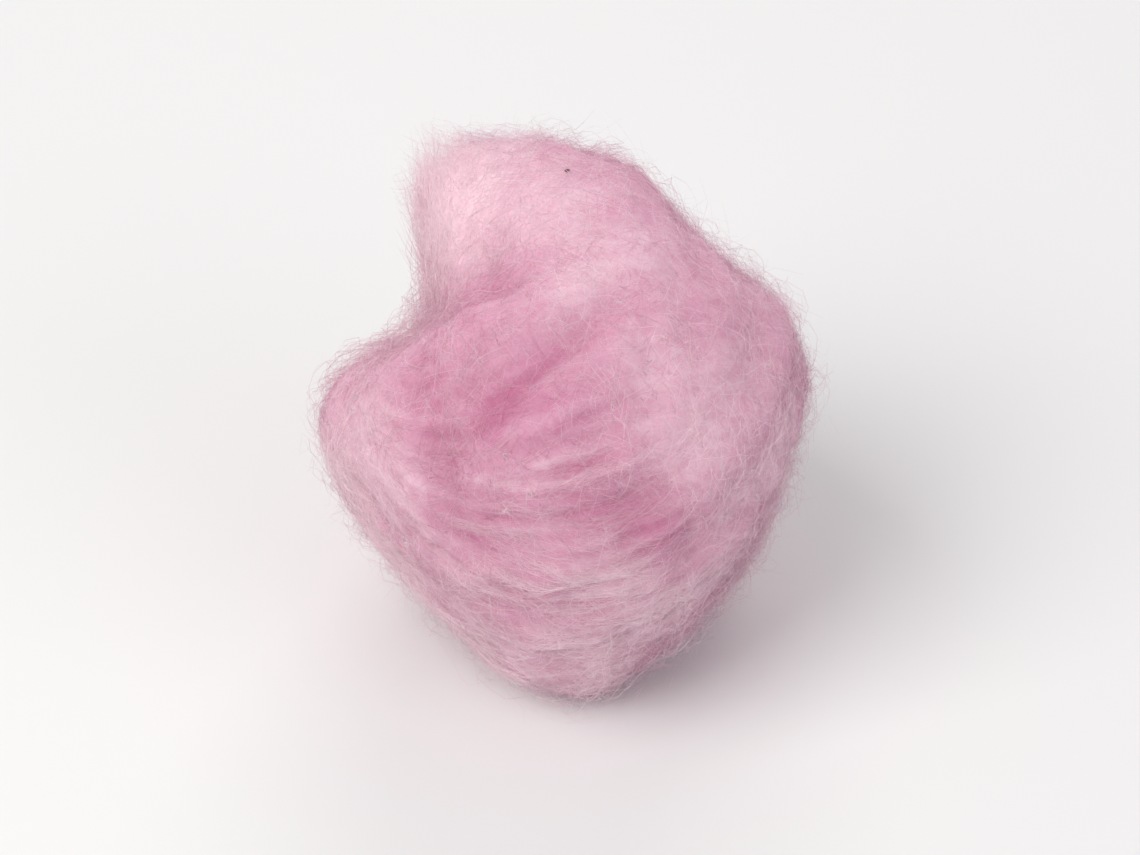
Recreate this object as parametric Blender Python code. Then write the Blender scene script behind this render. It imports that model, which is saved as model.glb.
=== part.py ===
"""A cotton ball: one rolled puff of loose fibre with folds, a lifted tuft and a soft flat spot to rest on.

The shape is a set of distances from the ball's middle, one for each direction. An egg-like ball comes first,
then swells and hollows, then folds that run along curved lines, then shallow winding ridges. Directions are
written as (across, up the face, out of the face), where the face is the side of the ball that leans back by
FACE_LEAN from upright and looks towards -Y.
"""

import math

import bmesh
import bpy
import numpy as np

NODE_NAME = "cotton_ball"

# The ball before its swells and folds, measured across, up the face and out of the face.
BALL_WIDTH = 0.0306
BALL_LENGTH = 0.0336
BALL_DEPTH = 0.0306
FACE_LEAN = math.radians(38.0)

# Fineness of the surface: levels of the round mesh, how many fold widths before and past a fold it is finer,
# and the share of a hollow's depth from which the deep ones are finer.
ROUND_LEVELS = 5
FINE_BEFORE = 1.3
FINE_PAST = 2.5
FINE_HOLLOW_SHARE = 0.2

# Where the ball has sunk onto its own weight: how deep the flat spot cuts in and how softly it begins.
FLAT_SINK = 0.0017
FLAT_SOFTNESS = 0.0007

# Swells: direction, spread as an angle, height.
TUFT = ((-0.39, 0.90, 0.14), 0.22, 0.0036)
TUFT_TIP = ((-0.42, 0.90, 0.10), 0.11, 0.0009)
TUFT_SHOULDER = ((0.20, 0.97, 0.16), 0.26, 0.0020)
LEFT_ROLL = ((-0.99, 0.12, 0.20), 0.26, 0.0013)
RIGHT_SHOULDER = ((0.88, 0.45, 0.08), 0.32, 0.0015)
CHIN = ((0.02, -1.00, 0.10), 0.24, 0.0016)
FACE_CUSHION = ((0.34, -0.34, 0.87), 0.42, 0.0010)
UPPER_CUSHION = ((-0.12, 0.42, 0.90), 0.26, 0.0007)
BACK_CUSHION = ((-0.10, 0.10, -0.99), 0.60, 0.0010)
BACK_ROLL = ((0.55, -0.45, -0.70), 0.34, 0.0008)
SWELLS = (
    TUFT,
    TUFT_TIP,
    TUFT_SHOULDER,
    LEFT_ROLL,
    RIGHT_SHOULDER,
    CHIN,
    FACE_CUSHION,
    UPPER_CUSHION,
    BACK_CUSHION,
    BACK_ROLL,
)

# Hollows: direction, spread as an angle, depth.
WAIST = ((-0.75, 0.66, 0.02), 0.25, 0.0036)
WAIST_FRONT = ((-0.73, 0.56, 0.40), 0.25, 0.0022)
WAIST_BACK = ((-0.71, 0.57, -0.42), 0.28, 0.0036)
TOP_RIGHT_SLOPE = ((0.58, 0.81, 0.00), 0.28, 0.0026)
LOWER_LEFT_SLOPE = ((-0.74, -0.67, 0.05), 0.44, 0.0025)
LOWER_RIGHT_SLOPE = ((0.72, -0.69, 0.05), 0.44, 0.0016)
ROLLED_END = ((0.35, 0.22, -0.91), 0.28, 0.0010)
HOLLOWS = (
    WAIST,
    WAIST_FRONT,
    WAIST_BACK,
    TOP_RIGHT_SLOPE,
    LOWER_LEFT_SLOPE,
    LOWER_RIGHT_SLOPE,
    ROLLED_END,
)

# Folds: start, pull point and end of the curved line, then width, depth, lip height and how far the lip leans.
ROLL_FOLD = (
    ((-0.62, 0.42, 0.66), (-0.58, 0.00, 0.82), (-0.30, -0.58, 0.76)),
    0.0020,
    0.0009,
    0.0004,
    0.0003,
)
FACE_FOLD = (
    ((-0.56, -0.10, 0.82), (-0.20, 0.06, 0.95), (0.40, 0.66, 0.62)),
    0.0017,
    0.0008,
    0.0003,
    0.0002,
)
UNDER_FOLD = (
    ((0.00, -0.24, 0.97), (0.32, -0.36, 0.87), (0.64, -0.46, 0.62)),
    0.0020,
    0.0005,
    0.0002,
    0.0001,
)
TUFT_FOLD = (
    ((-0.70, 0.52, 0.40), (-0.26, 0.46, 0.82), (0.10, 0.76, 0.62)),
    0.0018,
    0.0008,
    0.0003,
    0.0002,
)
BACK_SEAM = (
    ((-0.72, 0.30, -0.60), (-0.25, 0.95, -0.75), (0.72, 0.42, -0.50)),
    0.0020,
    0.0009,
    0.0004,
    0.0003,
)
BACK_CURL = (
    ((0.60, 0.02, -0.78), (0.28, -0.42, -0.86), (-0.22, -0.06, -0.97)),
    0.0018,
    0.0007,
    0.0003,
    0.0002,
)
SIDE_FOLD = (
    ((0.88, -0.02, 0.12), (0.92, -0.32, -0.22), (0.58, -0.68, -0.45)),
    0.0018,
    0.0006,
    0.0002,
    0.0002,
)
FOLDS = (ROLL_FOLD, FACE_FOLD, UNDER_FOLD, TUFT_FOLD, BACK_SEAM, BACK_CURL, SIDE_FOLD)
STEPS_ALONG_FOLD = 96

# Shallow ridges where the sliver winds round a point under the tuft.
WINDING_POLE = (-0.30, 0.66, 0.69)
WINDING_SPACING = 0.0054
WINDING_HEIGHT = 0.00018

# Slow unevenness of the whole ball.
UNEVEN_HEIGHT = 0.00028
UNEVEN_WAVES = ((3.1, 1.7, -2.2), (-1.9, 3.4, 1.3), (2.4, -2.6, 2.9), (-3.7, -1.2, 2.1))


def clear_scene():
    """Removes every object that Blender starts with."""
    for existing in list(bpy.data.objects):
        bpy.data.objects.remove(existing, do_unlink=True)


def unit(vectors):
    """Vectors of length one in the same directions."""
    return vectors / np.linalg.norm(vectors, axis=-1, keepdims=True)


def face_axes():
    """Across the face, up the face and out of the face, as rows in the part's own axes."""
    across = (1.0, 0.0, 0.0)
    up_face = (0.0, math.sin(FACE_LEAN), math.cos(FACE_LEAN))
    out_of_face = (0.0, -math.cos(FACE_LEAN), math.sin(FACE_LEAN))
    return np.array((across, up_face, out_of_face))


def round_mesh():
    """A mesh of even triangles on a sphere of radius one, made finer along the folds and in the waist."""
    mesh = bmesh.new()
    bmesh.ops.create_icosphere(mesh, subdivisions=ROUND_LEVELS, radius=1.0)
    directions = directions_of(mesh)
    fine = close_to_a_fold(directions) | in_the_waist(directions)
    fine_edges = [edge for edge in mesh.edges if fine[edge.verts[0].index] and fine[edge.verts[1].index]]
    bmesh.ops.subdivide_edges(mesh, edges=fine_edges, cuts=1)
    bmesh.ops.triangulate(mesh, faces=mesh.faces[:])
    mesh.verts.index_update()
    return mesh


def directions_of(mesh):
    """Directions of the mesh's points, in face axes."""
    points = np.array([point.co[:] for point in mesh.verts])
    return unit(points)


def ball_radius(directions):
    """Distance from the middle to an ellipsoid of the ball's three sizes."""
    half_sizes = np.array((BALL_WIDTH, BALL_LENGTH, BALL_DEPTH)) / 2.0
    return 1.0 / np.linalg.norm(directions / half_sizes, axis=1)


def middle_radius():
    """A mean radius, which turns angles on the ball into lengths along it."""
    return (BALL_WIDTH + BALL_LENGTH + BALL_DEPTH) / 6.0


def soft_spot(directions, centre, spread):
    """One at the centre direction, falling smoothly to nothing over the spread angle."""
    towards = directions @ unit(np.array(centre))
    return np.exp((towards - 1.0) / spread**2)


def curved_line(three_directions):
    """Directions along a curve that leaves the first, is pulled to the second and reaches the third."""
    start, pull, end = (unit(np.array(one)) for one in three_directions)
    along = np.linspace(0.0, 1.0, STEPS_ALONG_FOLD)[:, None]
    curve = (1.0 - along) ** 2 * start + 2.0 * along * (1.0 - along) * pull + along**2 * end
    return unit(curve)


def across_fold(directions, three_directions):
    """Length from the line with its sign, how much of the fold is there, length past its end, the way across."""
    line = curved_line(three_directions)
    tangents = unit(np.gradient(line, axis=0))
    sideways = unit(np.cross(tangents, line))
    closeness = directions @ line.T
    nearest = np.argmax(closeness, axis=1)
    opposite = closeness.max(axis=1) < 0.7
    offset = directions - line[nearest]
    side = np.einsum("ij,ij->i", offset, sideways[nearest]) * middle_radius()
    beyond = np.einsum("ij,ij->i", offset, tangents[nearest]) * middle_radius()
    place = nearest / (STEPS_ALONG_FOLD - 1.0)
    fade = 1.0 - (2.0 * place - 1.0) ** 2
    fade[opposite] = 0.0
    return side, fade, beyond, sideways[nearest]


def close_to_a_fold(directions):
    """True for the points that lie on the valley or the lip of any fold."""
    close = np.zeros(len(directions), dtype=bool)
    for three_directions, width, *_ in FOLDS:
        side, fade, _, _ = across_fold(directions, three_directions)
        close |= (side > -FINE_BEFORE * width) & (side < FINE_PAST * width) & (fade > 0.15)
    return close


def in_the_waist(directions):
    """True for the points that lie well inside the waist's three hollows."""
    shares = [soft_spot(directions, centre, spread) for centre, spread, _ in (WAIST, WAIST_FRONT, WAIST_BACK)]
    return np.max(shares, axis=0) > FINE_HOLLOW_SHARE


def fold_profile(side, width, depth, lip):
    """Height over the fold: a valley that is steep under its lip and slow on the other side."""
    valley_width = np.where(side > 0.0, 0.8 * width, 1.6 * width)
    valley = -depth * np.exp(-((side / valley_width) ** 2))
    raised_lip = lip * np.exp(-(((side - 1.7 * width) / (1.1 * width)) ** 2))
    return valley + raised_lip


def fold_changes(directions):
    """Height to add over every fold, and the sideways move that leans each lip over its valley."""
    height = np.zeros(len(directions))
    lean = np.zeros_like(directions)
    for three_directions, width, depth, lip, reach in FOLDS:
        side, fade, beyond, sideways = across_fold(directions, three_directions)
        there = fade * np.exp(-((beyond / width) ** 2))
        height += there * fold_profile(side, width, depth, lip)
        over = there * reach * np.exp(-(((side - 1.2 * width) / (1.1 * width)) ** 2))
        lean -= over[:, None] * sideways
    return height, lean


def winding_ridges(directions):
    """Shallow rings round the winding pole, strongest at a middle distance from it."""
    from_pole = np.arccos(np.clip(directions @ unit(np.array(WINDING_POLE)), -1.0, 1.0))
    strength = np.exp(-(((from_pole - 1.45) / 0.60) ** 2))
    rings = np.cos(2.0 * np.pi * from_pole * middle_radius() / WINDING_SPACING)
    return WINDING_HEIGHT * strength * rings


def unevenness(directions):
    """Slow waves that keep the ball from being regular."""
    waves = np.sin(directions @ np.array(UNEVEN_WAVES).T + np.arange(len(UNEVEN_WAVES)))
    return UNEVEN_HEIGHT * waves.mean(axis=1) * 2.0


def ball_points(directions):
    """Points of the ball in face axes, about its middle."""
    radius = ball_radius(directions)
    for centre, spread, height in SWELLS:
        radius = radius + height * soft_spot(directions, centre, spread)
    for centre, spread, depth in HOLLOWS:
        radius = radius - depth * soft_spot(directions, centre, spread)
    fold_height, fold_lean = fold_changes(directions)
    radius = radius + fold_height + winding_ridges(directions) + unevenness(directions)
    return directions * radius[:, None] + fold_lean


def settle(points):
    """The underside eased onto a level: low points sink towards it softly and never pass it."""
    level = points[:, 2].min() + FLAT_SINK
    above = (points[:, 2] - level) / FLAT_SOFTNESS
    settled = points.copy()
    settled[:, 2] = level + FLAT_SOFTNESS * np.logaddexp(0.0, above)
    return settled, level


def cut_flat(mesh, level):
    """Cuts the eased underside just above its level and closes the cut with one flat face."""
    everything = mesh.verts[:] + mesh.edges[:] + mesh.faces[:]
    cut_height = level + 0.45 * FLAT_SOFTNESS
    bmesh.ops.bisect_plane(
        mesh, geom=everything, plane_co=(0.0, 0.0, cut_height), plane_no=(0.0, 0.0, -1.0), clear_outer=True
    )
    rim = [edge for edge in mesh.edges if edge.is_boundary]
    bmesh.ops.contextual_create(mesh, geom=rim)
    bmesh.ops.triangulate(mesh, faces=[face for face in mesh.faces if len(face.verts) > 3])
    bmesh.ops.recalc_face_normals(mesh, faces=mesh.faces[:])


def stand_on_origin(mesh):
    """Moves the mesh so that the middle of the bottom of its box is the origin."""
    points = np.array([point.co[:] for point in mesh.verts])
    low = points.min(axis=0)
    high = points.max(axis=0)
    shift = (-(low[0] + high[0]) / 2.0, -(low[1] + high[1]) / 2.0, -low[2])
    bmesh.ops.translate(mesh, verts=mesh.verts[:], vec=shift)


def cotton_material():
    """Soft pink fibre: a rough surface with a sheen."""
    material = bpy.data.materials.new("pink_cotton")
    material.use_nodes = True
    shader = material.node_tree.nodes["Principled BSDF"]
    shader.inputs["Base Color"].default_value = (0.76, 0.40, 0.55, 1.0)
    shader.inputs["Roughness"].default_value = 0.95
    shader.inputs["Sheen Weight"].default_value = 0.4
    return material


def build_ball():
    """Makes the one object of this part."""
    mesh = round_mesh()
    points, level = settle(ball_points(directions_of(mesh)) @ face_axes())
    for point, place in zip(mesh.verts, points):
        point.co = place
    cut_flat(mesh, level)
    stand_on_origin(mesh)
    data = bpy.data.meshes.new(NODE_NAME)
    mesh.to_mesh(data)
    mesh.free()
    data.polygons.foreach_set("use_smooth", np.ones(len(data.polygons), dtype=bool))
    data.materials.append(cotton_material())
    ball = bpy.data.objects.new(NODE_NAME, data)
    bpy.context.scene.collection.objects.link(ball)
    return ball


clear_scene()
build_ball()
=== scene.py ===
"""The looks of one pink cotton ball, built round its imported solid.

The ball is a body of packed fibre with real folds and strand ridges, wrapped in thousands of closed, tapered
fibres: wound locks that lie along the roll, paler locks on the left rim, curved strands over the lower face,
loose fuzz with a thin halo and loops over it, a lifted tuft with wisps at its corner, small knots and strays.
Directions on the ball are written as (across, up the face, out of the face), where the face is the side that
leans back and looks towards the camera.
"""

from __future__ import annotations

import logging
import math
from dataclasses import dataclass, field
from enum import Enum

import bpy
import mathutils
import numpy as np
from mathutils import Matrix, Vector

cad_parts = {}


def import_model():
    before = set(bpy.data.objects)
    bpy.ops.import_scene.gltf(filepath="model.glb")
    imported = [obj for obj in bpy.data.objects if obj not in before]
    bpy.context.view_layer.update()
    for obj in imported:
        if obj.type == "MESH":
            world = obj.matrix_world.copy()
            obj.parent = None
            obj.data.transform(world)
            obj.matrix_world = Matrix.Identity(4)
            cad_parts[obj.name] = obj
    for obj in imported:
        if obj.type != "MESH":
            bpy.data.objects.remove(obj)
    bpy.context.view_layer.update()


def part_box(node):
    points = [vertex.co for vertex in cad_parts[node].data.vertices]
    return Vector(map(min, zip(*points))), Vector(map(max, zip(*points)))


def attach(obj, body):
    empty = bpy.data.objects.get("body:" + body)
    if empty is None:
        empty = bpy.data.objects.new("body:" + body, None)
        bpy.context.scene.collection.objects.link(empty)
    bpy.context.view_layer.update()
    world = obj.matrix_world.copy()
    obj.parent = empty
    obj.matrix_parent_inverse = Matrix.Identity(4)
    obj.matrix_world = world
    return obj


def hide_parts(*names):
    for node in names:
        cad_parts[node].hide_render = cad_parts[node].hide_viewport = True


NODE = "cotton_ball"
ROOT_BODY = "root"
TINY = 1e-6
NO_LENGTH = 1e-12
WAVE_SHARES = (0.7, 1.5)
Triple = tuple[float, float, float]

log = logging.getLogger("cotton_ball")


def unit(vectors: np.ndarray) -> np.ndarray:
    """Vectors of length one in the same directions.

    Args:
        vectors: one or more rows of three numbers.

    Returns:
        Each row divided by its length.
    """
    rows = np.asarray(vectors, dtype=float)
    return rows / np.maximum(np.linalg.norm(rows, axis=-1, keepdims=True), NO_LENGTH)


class SoftNoise:
    """A smooth, repeatable unevenness with a spread of one.

    Formula: the sum of sine waves that run in fixed directions, each sin(wave . point + phase), scaled by
    the root of two over their number.
    """

    def __init__(self, seed: int, wavelength: float, waves: int = 28) -> None:
        """Fixes the waves.

        Args:
            seed: picks the directions, lengths and phases.
            wavelength: middle length of a wave, in the units of the points.
            waves: how many waves are summed.
        """
        draw = np.random.default_rng(seed)
        lengths = wavelength * draw.uniform(*WAVE_SHARES, (waves, 1))
        self.waves = 2.0 * math.pi * unit(draw.normal(size=(waves, 3))) / lengths
        self.phases = draw.uniform(0.0, 2.0 * math.pi, waves)
        self.wavelength = wavelength

    def at(self, points: np.ndarray) -> np.ndarray:
        """The noise at each point.

        Args:
            points: rows of three coordinates.

        Returns:
            One value a row, mostly between minus two and two.
        """
        heights = np.sin(points @ self.waves.T + self.phases)
        return heights.sum(axis=1) * math.sqrt(2.0 / len(self.phases))


@dataclass(frozen=True)
class Swell:
    """A soft rise about one direction, or a hollow where its height is below zero.

    The height is in metres for the ball's form, and a plain share where it stands for clarity or paleness.
    """

    centre: Triple
    spread: float
    height: float

    def at(self, directions: np.ndarray) -> np.ndarray:
        """What it adds at each direction: its height times its share."""
        return self.height * self.share(directions)

    def share(self, directions: np.ndarray) -> np.ndarray:
        """One at the centre and nothing far from it: exp((cosine to the centre - 1) / spread squared)."""
        return np.exp((directions @ unit(np.array(self.centre)) - 1.0) / self.spread**2)


@dataclass(frozen=True)
class FoldPlace:
    """Where directions lie beside a fold."""

    side: np.ndarray
    there: np.ndarray
    sideways: np.ndarray


@dataclass(frozen=True)
class Fold:
    """A crease along a curved line, steep under its lip and slow on the other side.

    The shares and the places beside the line are counted in widths. Nearness is the least cosine to the line
    at which the fold still shows.
    """

    start: Triple
    pull: Triple
    end: Triple
    width: float
    depth: float
    lip: float
    lean: float
    steep_share: float = 0.8
    slow_share: float = 1.6
    lip_share: float = 1.1
    lip_place: float = 1.7
    lean_place: float = 1.2
    nearness: float = 0.7

    def line(self, steps: int = 96) -> np.ndarray:
        """The line of the crease: a quadratic curve from start to end, drawn to the pull point.

        Args:
            steps: number of directions along it.

        Returns:
            Unit rows in face axes.
        """
        start, pull, end = (unit(np.array(one)) for one in (self.start, self.pull, self.end))
        along = np.linspace(0.0, 1.0, steps)[:, None]
        curve = (1.0 - along) ** 2 * start + 2.0 * along * (1.0 - along) * pull + along**2 * end
        return unit(curve)

    def place(self, directions: np.ndarray, radius: float) -> FoldPlace:
        """Finds the nearest point of the line and how the direction lies to it.

        Args:
            directions: unit rows in face axes.
            radius: turns angles on the ball into lengths.

        Returns:
            Signed length across the line, the share of the fold that is there, and the way across.
        """
        line = self.line()
        tangents = unit(np.gradient(line, axis=0))
        sideways = unit(np.cross(tangents, line))
        closeness = directions @ line.T
        nearest = np.argmax(closeness, axis=1)
        offset = directions - line[nearest]
        side = np.einsum("ij,ij->i", offset, sideways[nearest]) * radius
        beyond = np.einsum("ij,ij->i", offset, tangents[nearest]) * radius
        along = nearest / (len(line) - 1.0)
        there = (1.0 - (2.0 * along - 1.0) ** 2) * np.exp(-((beyond / self.width) ** 2))
        there[closeness.max(axis=1) < self.nearness] = 0.0
        return FoldPlace(side, there, sideways[nearest])

    def bell(self, place: FoldPlace, middle: float) -> np.ndarray:
        """A bell across the line, of one at a middle counted in widths."""
        return np.exp(-(((place.side - middle * self.width) / (self.lip_share * self.width)) ** 2))

    def height(self, place: FoldPlace) -> np.ndarray:
        """Valley and lip: minus depth on a bell about the line, plus lip on a bell beside it.

        Args:
            place: from the place method.

        Returns:
            Metres to add to the radius.
        """
        valley_width = np.where(place.side > 0.0, self.steep_share, self.slow_share) * self.width
        valley = -self.depth * np.exp(-((place.side / valley_width) ** 2))
        return place.there * (valley + self.lip * self.bell(place, self.lip_place))

    def reach(self, place: FoldPlace) -> np.ndarray:
        """The sideways move, in metres, that leans the lip over its valley."""
        over = place.there * self.lean * self.bell(place, self.lean_place)
        return -over[:, None] * place.sideways

    def shade(self, place: FoldPlace) -> np.ndarray:
        """The mask of painted shade: one in the bottom of the crease, nothing away from it."""
        return place.there * self.bell(place, 0.0)


@dataclass(frozen=True)
class LayGuide:
    """Which way the fibres lie near one place on the ball."""

    centre: Triple
    way: Triple
    spread: float = 0.34

    def share(self, at: np.ndarray) -> np.ndarray:
        """One at the guide's place and nothing far from it, as a swell has it."""
        return Swell(self.centre, self.spread, 1.0).share(at)


LAY_GUIDES = (
    LayGuide((-0.82, -0.18, 0.54), (0.48, -0.86, 0.0)),
    LayGuide((-0.56, -0.60, 0.56), (0.74, -0.66, 0.0)),
    LayGuide((-0.34, 0.06, 0.93), (0.80, 0.58, 0.0)),
    LayGuide((-0.24, -0.50, 0.83), (0.97, -0.22, 0.0)),
    LayGuide((0.06, -0.04, 1.00), (0.92, 0.36, 0.0)),
    LayGuide((0.10, -0.66, 0.74), (1.00, 0.04, 0.0)),
    LayGuide((0.04, -0.92, 0.38), (1.00, 0.10, 0.0)),
    LayGuide((0.50, -0.56, 0.66), (0.84, 0.52, 0.0)),
    LayGuide((0.48, 0.10, 0.87), (0.90, 0.30, 0.0)),
    LayGuide((0.88, -0.10, 0.45), (0.72, 0.62, -0.3)),
    LayGuide((0.62, 0.58, 0.52), (0.92, -0.05, -0.3)),
    LayGuide((-0.08, 0.58, 0.81), (0.86, 0.36, 0.0)),
    LayGuide((-0.46, 0.82, 0.34), (0.30, -0.92, 0.0), 0.24),
)

# Where strands show more plainly, or less where the height is below zero.
STRAND_PLACES = (
    Swell((0.05, -0.62, 0.78), 0.38, 0.44),
    Swell((-0.70, -0.50, 0.50), 0.30, 0.26),
    Swell((-0.20, 0.05, 0.97), 0.34, 0.35),
    Swell((0.30, -0.20, -0.93), 0.60, 0.40),
    Swell((-0.86, 0.14, 0.48), 0.20, -0.30),
    Swell((0.90, 0.20, 0.38), 0.26, -0.25),
    Swell((0.52, 0.16, 0.84), 0.30, -0.18),
    Swell((0.10, 0.52, 0.85), 0.26, -0.18),
    Swell((-0.44, 0.88, 0.18), 0.30, -0.25),
    Swell((0.44, -0.88, -0.18), 0.24, -0.30),
    Swell((-0.66, 0.74, 0.10), 0.32, -0.32),
)

TUFT_LUMPS = Swell((-0.44, 0.85, 0.30), 0.28, 1.0)
SWELLS = {
    "tuft": Swell((-0.39, 0.90, 0.14), 0.22, 0.0036),
    "tuft tip": Swell((-0.42, 0.90, 0.10), 0.11, 0.0009),
    "tuft shoulder": Swell((0.20, 0.97, 0.16), 0.26, 0.0020),
    "left roll": Swell((-0.99, 0.12, 0.20), 0.26, 0.0013),
    "right shoulder": Swell((0.88, 0.45, 0.08), 0.32, 0.0015),
    "chin": Swell((0.02, -1.00, 0.10), 0.24, 0.0016),
    "face cushion": Swell((0.34, -0.34, 0.87), 0.42, 0.0010),
    "upper cushion": Swell((-0.12, 0.42, 0.90), 0.26, 0.0007),
    "back cushion": Swell((-0.10, 0.10, -0.99), 0.60, 0.0010),
    "back roll": Swell((0.55, -0.45, -0.70), 0.34, 0.0008),
    "waist": Swell((-0.75, 0.66, 0.02), 0.25, -0.0036),
    "waist front": Swell((-0.73, 0.56, 0.40), 0.25, -0.0022),
    "waist back": Swell((-0.71, 0.57, -0.42), 0.28, -0.0036),
    "top right slope": Swell((0.58, 0.81, 0.00), 0.28, -0.0026),
    "lower left slope": Swell((-0.74, -0.67, 0.05), 0.44, -0.0025),
    "lower right slope": Swell((0.72, -0.69, 0.05), 0.44, -0.0016),
    "rolled end": Swell((0.35, 0.22, -0.91), 0.28, -0.0010),
}
FOLDS = {
    "roll fold": Fold(
        (-0.62, 0.42, 0.66), (-0.58, 0.00, 0.82), (-0.30, -0.58, 0.76), 0.0020, 0.0009, 0.0004, 0.0003
    ),
    "face fold": Fold(
        (-0.56, -0.10, 0.82), (-0.20, 0.06, 0.95), (0.40, 0.66, 0.62), 0.0017, 0.0008, 0.0003, 0.0002
    ),
    "under fold": Fold(
        (0.00, -0.24, 0.97), (0.32, -0.36, 0.87), (0.64, -0.46, 0.62), 0.0020, 0.0005, 0.0002, 0.0001
    ),
    "tuft fold": Fold(
        (-0.70, 0.52, 0.40), (-0.26, 0.46, 0.82), (0.10, 0.76, 0.62), 0.0018, 0.0008, 0.0003, 0.0002
    ),
    "back seam": Fold(
        (-0.72, 0.30, -0.60), (-0.25, 0.95, -0.75), (0.72, 0.42, -0.50), 0.0020, 0.0009, 0.0004, 0.0003
    ),
    "back curl": Fold(
        (0.60, 0.02, -0.78), (0.28, -0.42, -0.86), (-0.22, -0.06, -0.97), 0.0018, 0.0007, 0.0003, 0.0002
    ),
    "side fold": Fold(
        (0.88, -0.02, 0.12), (0.92, -0.32, -0.22), (0.58, -0.68, -0.45), 0.0018, 0.0006, 0.0002, 0.0002
    ),
}


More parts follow.
